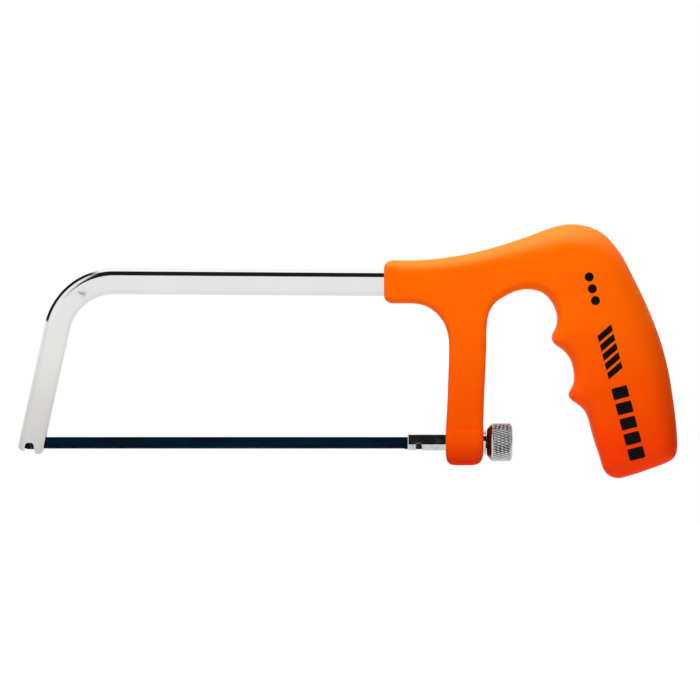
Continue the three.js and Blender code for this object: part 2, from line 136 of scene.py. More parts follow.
def rgba(color):
    """An opaque colour from three numbers, or from one grey level."""
    return (*color, 1) if isinstance(color, tuple) else (color, color, color, 1)


class Shader:
    """A small helper for building the nodes of a material or of the world."""

    def __init__(self, owner):
        owner.use_nodes = True
        self.owner = owner
        self.tree = owner.node_tree

    def fill(self, node, inputs):
        """Sets a node's inputs to constants, or joins other nodes' outputs to them."""
        for key, value in inputs.items():
            socket = node.inputs[key]
            if isinstance(value, bpy.types.NodeSocket):
                self.tree.links.new(value, socket)
            else:
                socket.default_value = rgba(value) if socket.type == "RGBA" else value

    def node(self, kind, inputs, **settings):
        made = self.tree.nodes.new(kind)
        for key, value in settings.items():
            setattr(made, key, value)
        self.fill(made, inputs)
        return made

    def coordinates(self, output="Object", scale=(1, 1, 1)):
        place = self.node("ShaderNodeTexCoord", {}).outputs[output]
        return self.node("ShaderNodeMapping", {"Vector": place, "Scale": scale}).outputs["Vector"]

    def axes(self, vector):
        """The X, Y and Z of a vector."""
        return self.node("ShaderNodeSeparateXYZ", {"Vector": vector}).outputs

    def noise(self, vector, scale, detail, roughness=0.5):
        inputs = {"Vector": vector, "Scale": scale, "Detail": detail, "Roughness": roughness}
        return self.node("ShaderNodeTexNoise", inputs).outputs["Fac"]

    def ramp(self, factor, stops):
        made = self.node("ShaderNodeValToRGB", {"Fac": factor})
        elements = made.color_ramp.elements
        while len(elements) < len(stops):
            elements.new(0.5)
        for element, (position, color) in zip(elements, stops):
            element.position = position
            element.color = rgba(color)
        return made.outputs["Color"]

    def span(self, value, from_low, from_high, to_low=0.0, to_high=1.0):
        inputs = {"From Min": from_low, "From Max": from_high, "To Min": to_low, "To Max": to_high}
        return self.node("ShaderNodeMapRange", {"Value": value, **inputs}).outputs["Result"]

    def vary(self, noise, first, second, start=0.3):
        """Runs between two colours, or two numbers, over the middle of a noise."""
        end = 0.7
        if isinstance(first, tuple):
            return self.ramp(noise, [(start, first), (end, second)])
        return self.span(noise, start, end, first, second)

    def math(self, operation, *values):
        made = self.node("ShaderNodeMath", dict(enumerate(values)), operation=operation)
        return made.outputs["Value"]

    def mix(self, factor, first, second):
        made = self.node("ShaderNodeMix", {}, data_type="RGBA")
        colors = [number for number, socket in enumerate(made.inputs) if socket.type == "RGBA"]
        self.fill(made, {"Factor": factor, colors[0]: first, colors[1]: second})
        return next(socket for socket in made.outputs if socket.type == "RGBA")

    def bump(self, height, strength, distance, after=None):
        inputs = {"Height": height, "Strength": strength, "Distance": distance}
        if after is not None:
            inputs["Normal"] = after
        return self.node("ShaderNodeBump", inputs).outputs["Normal"]

    def finish(self, color, roughness, normal, metallic=0.0, specular=0.5):
        """Feeds a material's surface and returns the material."""
        self.fill(self.tree.nodes["Principled BSDF"], {
            "Base Color": color, "Roughness": roughness, "Normal": normal,
            "Metallic": metallic, "Specular IOR Level": specular,
        })
        return self.owner


def new_material(name):
    return Shader(bpy.data.materials.new(name))


def bar_plating():
    """Bright nickel over rolled steel: faint drawn lines along the bar, a soft haze, painted
    shade and reflection that make the lower arm duller and warmer, and the die's mark."""
    s = new_material("bar_plating")
    drawn = s.noise(s.coordinates("UV", (1, 60, 1)), 90, 4)
    place = s.coordinates()
    haze = s.noise(place, 60, 3)
    bright = s.vary(haze, (0.885, 0.88, 0.865), (0.915, 0.91, 0.895))
    # painted shade and reflection: the lower arm turns duller and warmer
    lower_arm_shade = s.vary(haze, (0.63, 0.61, 0.57), (0.69, 0.67, 0.63))
    tint = s.mix(s.span(s.axes(place)["Z"], 0.004, 0.048, 1.0, 0.0), bright, lower_arm_shade)
    dents = s.bump(s.noise(place, 45, 1), 0.06, 0.0004)
    lines = s.bump(drawn, 0.03, 0.00005, dents)
    mark = die_mark(s, place)
    tint = s.mix(s.span(mark, 0.30, 0.55, 0.0, 0.7), tint, (0.28, 0.28, 0.32))
    scuffed = s.bump(mark, 0.3, 0.0003, lines)
    return s.finish(tint, s.vary(haze, 0.05, 0.09), scuffed, metallic=1.0)


def die_mark(s, place):
    """The scuff that the bending die leaves on the side of the front bend."""
    centre = (-0.1000, -BAR_HALF_THICKNESS * MM, 0.0698)
    away = s.node("ShaderNodeVectorMath", {0: place, 1: centre}, operation="DISTANCE")
    near = s.span(away.outputs["Value"], 0.0005, 0.0035, 1.0, 0.0)
    return s.math("MULTIPLY", near, s.noise(s.coordinates(scale=(1, 1, 2.5)), 420, 3))


def machined_plating(name, painted_shade=False):
    """Nickel over turned steel, for the nut, washer and drawbar. The nut gets painted shade:
    dark on its front cone, in the shade of its gap to the washer, and in the grooves of its knurl."""
    s = new_material(name)
    place = s.coordinates()
    haze = s.noise(place, 400, 4)
    tint = s.vary(haze, (0.58, 0.59, 0.60), (0.82, 0.82, 0.83))
    if painted_shade:
        outer = NUT_RADIUS * MM
        shoulder = (nut_low[0] + 1.75) * MM
        rim = nut_high[0] * MM
        x, y, z = s.axes(place)
        above = s.math("SUBTRACT", z, AXIS_Z * MM)
        squares = s.math("ADD", s.math("MULTIPLY", above, above), s.math("MULTIPLY", y, y))
        radius = s.math("POWER", squares, 0.5)
        # painted shade in the grooves of the knurl
        knurled = s.span(x, rim - 0.0009, rim - 0.0008, 0.95, 0.0)
        deep_shade = s.span(radius, outer - 0.00034, outer - 0.00016, 1.0, 0.0)
        tint = s.mix(s.math("MULTIPLY", knurled, deep_shade), tint, (0.03, 0.03, 0.035))
        # painted shade on the front cone, which lies in the shade of its gap to the washer
        cone_shade = s.span(x, shoulder - 0.00015, shoulder + 0.00015, 1.0, 0.0)
        tint = s.mix(cone_shade, tint, (0.16, 0.12, 0.11))
    fine = s.bump(s.noise(place, 2500, 3), 0.10, 0.00006)
    return s.finish(tint, s.vary(haze, 0.08, 0.17), fine, metallic=1.0)


def satin_grain(s, place, after=None):
    """The fine grain of the moulded plastic and of the ink on it."""
    return s.bump(s.noise(place, 2600, 2), 0.10, 0.00008, after)


def handle_plastic():
    """Orange moulded plastic with a satin grain, with painted shade that makes it redder low down,
    on the lower boss and at the foot, and a painted highlight where the surface starts to turn up."""
    s = new_material("handle_plastic")
    place = s.coordinates()
    cloud = s.noise(place, 22, 3)
    even = s.vary(cloud, (0.925, 0.118, 0.0), (0.945, 0.128, 0.0))
    # painted shade: darker, redder colours that take over low down, where less light falls
    shaded_grip = s.vary(cloud, (0.86, 0.040, 0.0), (0.88, 0.046, 0.0))
    shaded_strut = s.vary(cloud, (0.85, 0.066, 0.0), (0.87, 0.074, 0.0))
    x, _, z = s.axes(place)
    boss = s.span(x, 0.055, 0.065, 1.0, 0.0)
    deep_shade = s.mix(boss, shaded_grip, shaded_strut)
    tint = s.mix(s.span(z, 0.010, 0.062, 1.0, 0.0), even, deep_shade)
    # painted shade on the underside of the boss
    boss_underside_shade = s.math("MULTIPLY", boss, s.span(z, 0.0045, 0.0145, 0.90, 0.0))
    tint = s.mix(boss_underside_shade, tint, (0.55, 0.007, 0.0))
    # painted shade in the lowest few millimetres, at the foot
    tint = s.mix(s.span(z, 0.0, 0.008, 0.6, 0.0), tint, (0.78, 0.030, 0.0))
    # painted highlight: paler where the normal turns up toward the overhead light
    up = s.axes(s.node("ShaderNodeNewGeometry", {}).outputs["Normal"])["Z"]
    painted_highlight = s.math("MULTIPLY", s.span(up, 0.30, 0.60, 0.0, 0.42), s.span(up, 0.75, 1.0, 1.0, 0.4))
    tint = s.mix(painted_highlight, tint, (1.0, 0.20, 0.045))
    roughness = s.vary(s.noise(place, 140, 5, 0.65), 0.36, 0.46)
    swell = s.bump(s.noise(place, 60, 2), 0.06, 0.0004)
    return s.finish(tint, roughness, satin_grain(s, place, swell), specular=0.04)


def blade_lacquer():
    """Dark blue lacquer on spring steel, worn bright along the tips of the teeth."""
    s = new_material("blade_lacquer")
    streak = s.noise(s.coordinates(scale=(0.25, 1, 3)), 120, 4)
    lacquer = s.vary(streak, (0.0005, 0.004, 0.010), (0.0008, 0.014, 0.030), start=0.35)
    tip = blade_low[2] * MM
    worn = s.span(s.axes(s.coordinates())["Z"], tip + 0.00005, tip + 0.00035, 0.8, 0.0)
    color = s.mix(worn, lacquer, (0.16, 0.17, 0.18))
    scratches = s.bump(s.noise(s.coordinates(scale=(0.2, 1, 4)), 900, 3), 0.10, 0.0001)
    return s.finish(color, s.vary(streak, 0.30, 0.42), scratches, specular=0.03)


def plain_steel():
    """Near-black steel of the pins, guide and bush, with faint stains."""
    s = new_material("plain_steel")
    place = s.coordinates()
    stain = s.noise(place, 350, 4)
    tint = s.vary(stain, (0.008, 0.008, 0.010), (0.03, 0.03, 0.034))
    fine = s.bump(s.noise(place, 3000, 3), 0.12, 0.0001)
    return s.finish(tint, s.vary(stain, 0.28, 0.45), fine, metallic=1.0)


def printing_ink():
    """Black pad-printed ink, slightly uneven."""
    s = new_material("printing_ink")
    place = s.coordinates()
    blotch = s.noise(place, 500, 4)
    tint = s.vary(blotch, (0.002, 0.002, 0.002), (0.006, 0.005, 0.004))
    return s.finish(tint, s.vary(blotch, 0.42, 0.55), satin_grain(s, place), specular=0.04)


MATERIALS = {
    "bar_plating": bar_plating(),
    "nut_plating": machined_plating("machined_plating"),
    # the nut's copy adds painted shade on its front cone and in its knurl grooves
    "nut_painted_shade": machined_plating("nut_painted_shade", painted_shade=True),
    "handle_plastic": handle_plastic(),
    "blade_lacquer": blade_lacquer(),
    "plain_steel": plain_steel(),
    "printing_ink": printing_ink(),
}


# ---- making pieces ----


def add_to_scene(name, data):
    made = bpy.data.objects.new(name, data)
    bpy.context.scene.collection.objects.link(made)
    return made


def new_object(name, vertices, faces):
    """A mesh from points in millimetres."""
    mesh = bpy.data.meshes.new(name)
    points = np.asarray(vertices, float) * MM
    mesh.from_pydata(points.tolist(), [], [list(map(int, face)) for face in faces])
    mesh.validate()
    return add_to_scene(name, mesh)


def bake_modifiers(made):
    """Replaces an object's mesh by what its modifiers make of it."""
    bpy.context.view_layer.update()
    evaluated = made.evaluated_get(bpy.context.evaluated_depsgraph_get())
    mesh = bpy.data.meshes.new_from_object(evaluated)
    made.modifiers.clear()
    made.data = mesh


def carve(made, *cutters):
    """Cuts each cutter out of a piece and removes the cutter."""
    for cutter in cutters:
        modifier = made.modifiers.new("carve", "BOOLEAN")
        modifier.operation = "DIFFERENCE"
        modifier.solver = "EXACT"
        modifier.object = cutter
        bake_modifiers(made)
        bpy.data.objects.remove(cutter)


def soften(made, width):
    """Breaks a piece's sharp edges, as deburring does."""
    modifier = made.modifiers.new("soften", "BEVEL")
    modifier.width = width * MM
    modifier.segments = 2
    modifier.limit_method = "ANGLE"
    modifier.angle_limit = math.radians(40)
    bake_modifiers(made)


def shade(made, angle, weighted=False):
    """Smooth shading that keeps edges sharper than the angle."""
    made.data.polygons.foreach_set("use_smooth", [True] * len(made.data.polygons))
    made.data.set_sharp_from_angle(angle=math.radians(angle))
    if weighted:
        modifier = made.modifiers.new("even_normals", "WEIGHTED_NORMAL")
        modifier.keep_sharp = True


def place_piece(made, body, slot, node, material=None):
    """Gives a finished piece its material and its body, and hides the CAD node it stands for."""
    made.data.materials.clear()
    made.data.materials.append(MATERIALS[material or slot])
    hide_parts(node)
    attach(made, body)


def ring_faces(rings, count, closed=False):
    """Quads between rings of points, and from the last ring to the first if closed."""
    faces = []
    for ring in range(rings if closed else rings - 1):
        here, above = ring * count, (ring + 1) % rings * count
        for corner in range(count):
            right = (corner + 1) % count
            faces.append((here + corner, here + right, above + right, above + corner))
    return faces


def tube_object(name, rings):
    """A closed body over rings of the same number of points, with flat ends."""
    rings = np.asarray(rings)
    count = rings.shape[1]
    faces = ring_faces(len(rings), count)
    faces.append(tuple(reversed(range(count))))
    faces.append(tuple(range((len(rings) - 1) * count, len(rings) * count)))
    made = new_object(name, rings.reshape(-1, 3), faces)
    face_outward(made)
    return made


def face_outward(made):
    work = bmesh.new()
    work.from_mesh(made.data)
    bmesh.ops.recalc_face_normals(work, faces=work.faces)
    work.to_mesh(made.data)
    work.free()


def prism(name, outline, y_low, y_high):
    """An outline in the X-Z plane, extruded across Y."""
    rings = [[(x, y, z) for x, z in outline] for y in (y_low, y_high)]
    return tube_object(name, rings)


def block(name, low, high):
    (x0, y0, z0), (x1, y1, z1) = low, high
    return prism(name, [(x0, z0), (x1, z0), (x1, z1), (x0, z1)], y0, y1)


def arc(centre, radius, start, end, steps):
    """Points on an arc in the X-Z plane, angles in degrees."""
    angles = np.radians(np.linspace(start, end, steps + 1))
    return [(centre[0] + radius * math.cos(a), centre[1] + radius * math.sin(a)) for a in angles]


def full_turn(steps):
    return np.linspace(0, 2 * math.pi, steps, endpoint=False)


def round_ring(level, radius, angles, centre=(0, AXIS_Z)):
    """Points around an axis along X, at X = level. The centre is (Y, Z)."""
    first = centre[0] + radius * np.cos(angles)
    second = centre[1] + radius * np.sin(angles)
    return np.stack([np.full(len(angles), level), first, second], axis=1)


def turned_rings(profile):
    """Rings about the drawbar's axis, one for each (x, radius)."""
    return [round_ring(x, radius, full_turn(64)) for x, radius in profile]


def cross_turned(name, profile, segments, centre):
    """A round body along Y from (y, radius) pairs. The centre is (X, Z)."""
    rings = [round_ring(y, radius, full_turn(segments), centre) for y, radius in profile]
    return tube_object(name, np.array(rings)[:, :, [1, 0, 2]])


def washer_shape(name, profile):
    """A ring turned about the drawbar's axis from a closed (x, radius) profile."""
    rings = turned_rings(profile)
    faces = ring_faces(len(rings), len(rings[0]), closed=True)
    made = new_object(name, np.concatenate(rings), faces)
    face_outward(made)
    return made


# ---- frame bar ----


def unit(vector):
    return vector / np.linalg.norm(vector)


def bend_points(before, corner, after, radius, steps):
    """The arc that rounds a corner of the bar's middle line. Both bends turn right."""
    before, corner, after = (np.array(p, float) for p in (before, corner, after))
    arriving, leaving = unit(corner - before), unit(after - corner)
    turn = math.acos(float(arriving @ leaving))
    start = corner - arriving * radius * math.tan(turn / 2)
    rightward = np.array([arriving[1], -arriving[0]])
    centre = start + rightward * radius
    first = math.degrees(math.atan2(-rightward[1], -rightward[0]))
    return arc(centre, radius, first, first - math.degrees(turn), steps)


def bar_line():
    """The middle line of the bar from the arm's foot to the leg's foot, with short
    extra steps on the straight runs."""
    corners = [ARM_FOOT, ARM_CORNER, LEG_CORNER, LEG_FOOT]
    front = bend_points(*corners[:3], FRONT_BEND, 26)
    rear = bend_points(*corners[1:], REAR_BEND, 18)
    straight_runs = [(corners[0], front[0], 6), (front[-1], rear[0], 16), (rear[-1], corners[3], 4)]
    lines = [np.linspace(a, b, steps + 1) for a, b, steps in straight_runs]
    return np.vstack([lines[0], front[1:-1], lines[1], rear[1:-1], lines[2]])


def bar_section(grow):
    """The bar's rounded rectangle, as (in-plane, across) offsets. The lower edges are tighter."""
    half_height = BAR_HALF_HEIGHT + grow
    half_thickness = BAR_HALF_THICKNESS + grow
    points = []
    corners = [(1, 1, 0, 1.0), (-1, 1, 90, 0.5), (-1, -1, 180, 0.5), (1, -1, 270, 1.0)]
    for side_u, side_v, start, share in corners:
        reach_u, reach_v = (edge * share + grow for edge in BAR_EDGE)
        centre = (side_u * (half_height - reach_u), side_v * (half_thickness - reach_v))
        for cos_share, sin_share in arc((0, 0), 1, start, start + 90, 10):
            points.append((centre[0] + reach_u * cos_share, centre[1] + reach_v * sin_share))
    return points


def sweep_bar(name, line, grow=0.0):
    line = np.asarray(line, float)
    along = np.gradient(line, axis=0)
    along /= np.linalg.norm(along, axis=1)[:, None]
    section = bar_section(grow)
    rings = []
    for (x, z), (dx, dz) in zip(line, along):
        rings.append([(x - dz * u, v, z + dx * u) for u, v in section])
    made = tube_object(name, rings)
    add_bar_coordinates(made, line)
    return made


def plane_tree(points):
    """A search tree over points in the X-Z plane."""
    tree = kdtree.KDTree(len(points))
    for index, (x, z) in enumerate(points):
        tree.insert((x, z, 0), index)
    tree.balance()
    return tree


def add_bar_coordinates(made, line):
    """UVs for the drawn lines: U runs along the bar and V across it, both in metres."""
    tree = plane_tree(line * MM)
    steps = np.linalg.norm(np.diff(line, axis=0), axis=1)
    travelled = np.concatenate([[0], np.cumsum(steps)]) * MM
    layer = made.data.uv_layers.new(name="along")
    for loop in made.data.loops:
        place = made.data.vertices[loop.vertex_index].co
        _, index, away = tree.find((place.x, place.z, 0))
        layer.data[loop.index].uv = (travelled[index], away + place.y)


def notch_outline(pin_x, slack, flare):
    """An open-ended seat for a blade pin, with room in front of it and a flared mouth."""
    half = PIN_RADIUS + FIT
    bottom = 5
    front_x = pin_x - slack
    seat = arc((pin_x, PIN_Z), half, 0, 90, 8) + arc((front_x, PIN_Z), half, 90, 180, 8)
    return [(pin_x + half + flare, bottom)] + seat + [(front_x - half - flare, bottom)]


def foot_corner(side):
    """What is rounded off one corner of the arm's foot. side is 1 in front, -1 behind."""
    foot, corner = np.array(ARM_FOOT), np.array(ARM_CORNER)
    up = unit(corner - foot)
    across = np.array([-up[1], up[0]]) * side
    centre = foot + across * (BAR_HALF_HEIGHT - FOOT_ROUND) + up * FOOT_ROUND
    rounded = [
        centre + FOOT_ROUND * (across * math.cos(a) - up * math.sin(a))
        for a in np.radians(np.linspace(0, 90, 9))
    ]
    reach = 2 * FOOT_ROUND
    beyond = [centre - up * reach, centre + (across - up) * reach]
    return [centre + across * reach] + rounded + beyond


def make_frame_bar():
    bar = sweep_bar("frame_bar_plated", bar_line())
    wide = 2 * BAR_HALF_THICKNESS
    in_front, behind = -130, -105  # clear of the arm's foot
    slot = block("slot", (in_front, -SLOT_HALF, 0), (behind, SLOT_HALF, blade_high[2] + 2 * FIT))
    notch = prism("notch", notch_outline(FRONT_PIN_X, SLACK, 1.3), -wide, wide)
    corners = [prism("corner", foot_corner(side), -wide, wide) for side in (1, -1)]
    holes = [cross_hole(name) for name in CROSS_PINS]
    carve(bar, slot, notch, *corners, *holes)
    soften(bar, 0.18)
    shade(bar, 40, weighted=True)
    place_piece(bar, "frame", "bar_plating", "frame_bar")


def pin_place(node):
    """A cross pin's (x, z) centre, its radius, and its two ends in y."""
    low, high = node_box(node)
    centre = ((low[0] + high[0]) / 2, (low[2] + high[2]) / 2)
    return centre, (high[0] - low[0]) / 2, low[1], high[1]


def cross_hole(node):
    centre, radius, _, _ = pin_place(node)
    radius += 0.05
    return cross_turned("hole", [(-CLEAR, radius), (CLEAR, radius)], 32, centre)


def make_pin(node, name, body, edge=0.25):
    """A round steel pin across the saw with chamfered ends."""
    centre, radius, low, high = pin_place(node)
    pin = cross_turned(name, [
        (low, radius - edge), (low + edge, radius), (high - edge, radius), (high, radius - edge),
    ], 40, centre)
    shade(pin, 30)
    place_piece(pin, body, "plain_steel", node)


# ---- handle ----

# The handle's outline, anticlockwise from the sleeve's lower front corner: x, z and the
# radius of the rounded edge there.
HANDLE_OUTLINE = [
    # sleeve underside, fillet and strut
    (16.6, 65.9, 2.2), (21, 65.9, 2.2), (25, 65.8, 2.2), (29.3, 64.95, 2.2), (33.3, 62.4, 2.2),
    (36.6, 58.1, 2.2), (38.05, 53, 2.3), (38.25, 47, 2.4), (38.0, 38, 2.4), (37.7, 30, 2.4),
    (37.4, 24, 2.3),
    # boss
    (37.2, 20.6, 2.2), (37.0, 17.5, 2.2), (36.95, 13.5, 2.2), (37.0, 10, 2.2), (37.2, 7.4, 2.2),
    (38.0, 5.6, 2.2), (40, 4.9, 2.2), (44, 4.9, 2.2), (47.3, 4.95, 2.2), (49.5, 5.6, 2.2),
    (50.7, 7.3, 2.2), (51.1, 10, 2.2), (51.15, 13.5, 2.2), (51.15, 17.5, 2.2), (51.05, 20.8, 2.2),
    # rear of the strut and the arch over the index finger
    (51.25, 26, 2.4), (51.5, 33, 2.4), (51.9, 42, 2.4), (52.2, 50, 2.5), (52.3, 56, 2.5),
    (53.0, 61.5, 2.6), (55.4, 65.9, 2.7), (60.4, 69.2, 2.8), (64.5, 70.8, 3.0), (68.2, 71.2, 3.2),
    (72, 70.6, 3.4), (75.2, 68.7, 3.6), (77.9, 65, 3.8), (79.1, 60.8, 3.9), (78.7, 57, 3.9),
    # ridge, middle-finger groove, ridge
    (77.4, 54.4, 3.8), (77.1, 52.3, 3.7), (78.3, 50.4, 3.8), (81.4, 48.2, 4.0), (84.0, 45, 4.2),
    (85.3, 40.5, 4.3), (85.4, 36, 4.3), (84.1, 33.3, 4.2), (83.3, 31.3, 4.1), (84.5, 29.4, 4.2),
    # long lower front of the grip
    (87.4, 27.4, 4.4), (89.7, 25, 4.6), (91.1, 21.3, 4.7), (92.2, 17, 4.8), (93.6, 12.5, 4.8),
    (95.1, 8, 4.8), (96.4, 3.7, 4.8), (98.2, 1.2, 4.8), (101.6, 0.05, 4.8),
    # foot
    (107.2, 1.35, 5), (113.2, 3.35, 5.2), (119.3, 5.6, 5.6), (122.5, 7.4, 6), (123.9, 10, 6.8),
    (124.15, 14, 7.6),
    # back, hump and top line
    (123.55, 22, 8.4), (122.4, 31, 8.8), (120.7, 41, 9), (117.5, 52.8, 9.2), (112.7, 65, 9.4),
    (107.3, 76.3, 9.6), (103.0, 84.3, 9.8), (98.5, 90.1, 10), (94.7, 93.1, 10), (90, 95, 10),
    (84.6, 95.7, 9.9), (79.5, 95.1, 9.6), (74, 93.4, 9.0), (66.5, 90.6, 8.0), (56, 87.2, 6.9),
    (46.5, 84.75, 6.2), (37, 83.1, 5.7), (30, 82.35, 5.4), (25, 82.1, 5.3), (20, 82.1, 5.0),
    (16.6, 82.1, 4.2),
    # front of the sleeve
    (14.55, 81.25, 3.2), (13.7, 79.2, 2.6), (13.7, 74, 2.4), (13.7, 68.8, 2.2), (14.55, 66.75, 2.2),
]


def closed_curve(points, per_span):
    """A closed Catmull-Rom curve through the points."""
    points = np.asarray(points, float)
    t = np.linspace(0, 1, per_span, endpoint=False)[:, None, None]
    p0, p1 = np.roll(points, 1, axis=0), points
    p2, p3 = np.roll(points, -1, axis=0), np.roll(points, -2, axis=0)
    curve = 0.5 * (
        2 * p1 + (p2 - p0) * t
        + (2 * p0 - 5 * p1 + 4 * p2 - p3) * t**2
        + (3 * p1 - p0 - 3 * p2 + p3) * t**3
    )
    return curve.transpose(1, 0, 2).reshape(-1, points.shape[1])


def evenly(points, spacing):
    """The same closed curve with evenly spaced points."""
    loop = np.vstack([points, points[:1]])
    length = np.concatenate([[0], np.cumsum(np.linalg.norm(np.diff(loop[:, :2], axis=0), axis=1))])
    stations = np.linspace(0, length[-1], int(length[-1] / spacing), endpoint=False)
    return np.stack([np.interp(stations, length, loop[:, k]) for k in range(loop.shape[1])], axis=1)


def relax(points, passes):
    """Evens out small changes of curvature along a closed curve."""
    for _ in range(passes):
        around = (np.roll(points, 1, axis=0) + np.roll(points, -1, axis=0)) / 2
        points = points + 0.5 * (around - points)
    return points


def blur(field, passes):
    """Repeated light smoothing of a grid."""
    for _ in range(passes):
        padded = np.pad(field, 1, mode="edge")
        around = padded[:-2, 1:-1] + padded[2:, 1:-1] + padded[1:-1, :-2] + padded[1:-1, 2:]
        field = 0.5 * field + 0.125 * around
    return field


def smooth_step(low, high, value):
    t = np.clip((value - low) / (high - low), 0, 1)
    return t * t * (3 - 2 * t)


class HandleForm:
    """The handle's solid as a function: a rounded slab over the outline whose thickness
    and edge radius change from the strut to the grip."""

    STRUT_HALF = 7.4
    BOSS_HALF = 7.7
    GRIP_HALF = 12.94
    CROWN = 1.3
    CROWN_WIDTH = 16.0
    STEP = 0.4

    def __init__(self, outline):
        curve = relax(evenly(closed_curve(outline, 12), 0.3), 10)
        self.curve = curve[:, :2]
        margin = 4
        self.low = self.curve.min(axis=0) - margin
        high = self.curve.max(axis=0) + margin
        counts = np.ceil((high - self.low) / self.STEP).astype(int) + 1
        xs, zs = (low + self.STEP * np.arange(count) for low, count in zip(self.low, counts))
        self.depth, self.edge = self.fields(curve, xs, zs)
        grid_x, grid_z = np.meshgrid(xs, zs, indexing="ij")
        self.half = self.half_thickness(grid_x, grid_z, self.depth)

    def fields(self, curve, xs, zs):
        """Signed depth inside the outline, and the edge radius of the nearest outline point."""
        tree = plane_tree(self.curve)
        nearest = np.array([[tree.find((x, z, 0))[1] for z in zs] for x in xs])
        along = np.roll(curve, -1, axis=0)[:, :2] - np.roll(curve, 1, axis=0)[:, :2]
        along /= np.linalg.norm(along, axis=1)[:, None]
        grid = np.stack(np.meshgrid(xs, zs, indexing="ij"), axis=-1)
        offset = grid - self.curve[nearest]
        tangent = along[nearest]
        slide = np.clip((offset * tangent).sum(axis=-1), -0.15, 0.15)
        away = offset - slide[..., None] * tangent
        inward = np.stack([-tangent[..., 1], tangent[..., 0]], axis=-1)
        side = np.sign((away * inward).sum(axis=-1))
        depth = side * np.linalg.norm(away, axis=-1)
        softened = blur(depth, 30)
        share = smooth_step(0.8, 3.2, depth)
        return depth + share * (softened - depth), curve[nearest][..., 2]

    def half_thickness(self, x, z, depth):
        grip = smooth_step(54, 84, x)
        boss = (1 - smooth_step(16.6, 18.2, z)) * (1 - smooth_step(54, 60, x))
        half = self.STRUT_HALF + boss * (self.BOSS_HALF - self.STRUT_HALF)
        half += grip * (self.GRIP_HALF - self.STRUT_HALF)
        crown = (1 - np.clip(depth / self.CROWN_WIDTH, 0, 1)) ** 2
        return half - grip * self.CROWN * crown

    def sample(self, field, x, z):
        """Bilinear reading of one of the form's grids."""
        u = (np.asarray(x) - self.low[0]) / self.STEP
        v = (np.asarray(z) - self.low[1]) / self.STEP
        i = np.clip(np.floor(u).astype(int), 0, field.shape[0] - 2)
        j = np.clip(np.floor(v).astype(int), 0, field.shape[1] - 2)
        s, t = u - i, v - j
        near = field[i, j] * (1 - s) + field[i + 1, j] * s
        far = field[i, j + 1] * (1 - s) + field[i + 1, j + 1] * s
        return near * (1 - t) + far * t

    def measures(self, x, z):
        """Depth, edge radius and half thickness at a place."""
        return [self.sample(field, x, z) for field in (self.depth, self.edge, self.half)]

    def outside(self, x, y, z):
        """Negative inside the handle, positive outside, about a distance near the surface."""
        depth, edge, half = self.measures(x, z)
        a = edge - depth
        b = np.abs(y) - (half - edge)
        corner = np.hypot(np.maximum(a, 0), np.maximum(b, 0))
        return np.minimum(np.maximum(a, b), 0) + corner - edge

    def slope(self, x, y, z, gap):
        """How fast outside() grows along X, Y and Z."""
        return np.stack([
            self.outside(x + gap, y, z) - self.outside(x - gap, y, z),
            self.outside(x, y + gap, z) - self.outside(x, y - gap, z),
            self.outside(x, y, z + gap) - self.outside(x, y, z - gap),
        ], axis=-1) / (2 * gap)

    def surface_y(self, x, z):
        """Half thickness of the handle at a place well inside its outline."""
        depth, edge, half = self.measures(x, z)
        short = np.clip(edge - depth, 0, edge)
        return half - edge + np.sqrt(np.maximum(edge**2 - short**2, 0))


def surface_net(values, origin, step):
    """Points and quads where a grid of values changes sign, one point in each crossed cell."""
    inside = values < 0
    cells = tuple(n - 1 for n in values.shape)
    total = np.zeros(cells + (3,))
    count = np.zeros(cells)
    corners = [(i, j, k) for i in (0, 1) for j in (0, 1) for k in (0, 1)]

    def part(array, corner):
        return array[tuple(slice(c, c + n) for c, n in zip(corner, cells))]

    for a in corners:
        for axis in range(3):
            if a[axis]:
                continue
            b = tuple(c + (k == axis) for k, c in enumerate(a))
            va, vb = part(values, a), part(values, b)
            crossed = part(inside, a) != part(inside, b)
            t = np.where(crossed, va / np.where(crossed, va - vb, 1), 0)
            for k in range(3):
                total[..., k] += crossed * (a[k] + (t if k == axis else 0))
            count += crossed
    used = count > 0
    number = np.full(cells, -1)
    number[used] = np.arange(used.sum())
    where = np.argwhere(used)
    points = origin + step * (where + total[used] / count[used][:, None])

    faces = []
    for axis in range(3):
        u, v = (axis + 1) % 3, (axis + 2) % 3
        ends = [slice(1, n) for n in cells]
        ends[axis] = slice(0, cells[axis])
        first = inside[tuple(ends)]
        ends[axis] = slice(1, cells[axis] + 1)
        second = inside[tuple(ends)]
        for index in np.argwhere(first != second):
            quad = []
            for du, dv in ((0, 0), (1, 0), (1, 1), (0, 1)):
                cell = index.copy()
                cell[u] += du
                cell[v] += dv
                quad.append(number[tuple(cell)])
            if not first[tuple(index)]:
                quad.reverse()
            faces.append(quad)
    return points, faces


def settle(form, points):
    """Moves points onto the handle's surface."""
    for _ in range(4):
        value = form.outside(*points.T)
        slope = form.slope(*points.T, gap=0.05)
        size = np.maximum((slope**2).sum(axis=1), 0.25)
        points = points - slope * (value / size)[:, None]
    return points


def handle_half(form):
    """The +Y half of the handle, closed by a flat face beside the middle plane, with a
    small chamfer along the parting line."""
    low = np.array([form.low[0], -2 * GRIP_STEP, form.low[1]])
    high = np.array([*form.curve.max(axis=0) + 2, form.GRIP_HALF + 2])[[0, 2, 1]]
    axes = [np.arange(a, b, GRIP_STEP) for a, b in zip(low, high)]
    x, y, z = np.meshgrid(*axes, indexing="ij")
    points, faces = surface_net(form.outside(x, y, z), low, GRIP_STEP)
    shell = new_object("handle_half", settle(form, points), faces)
    close_at_parting(shell, form)
    return shell


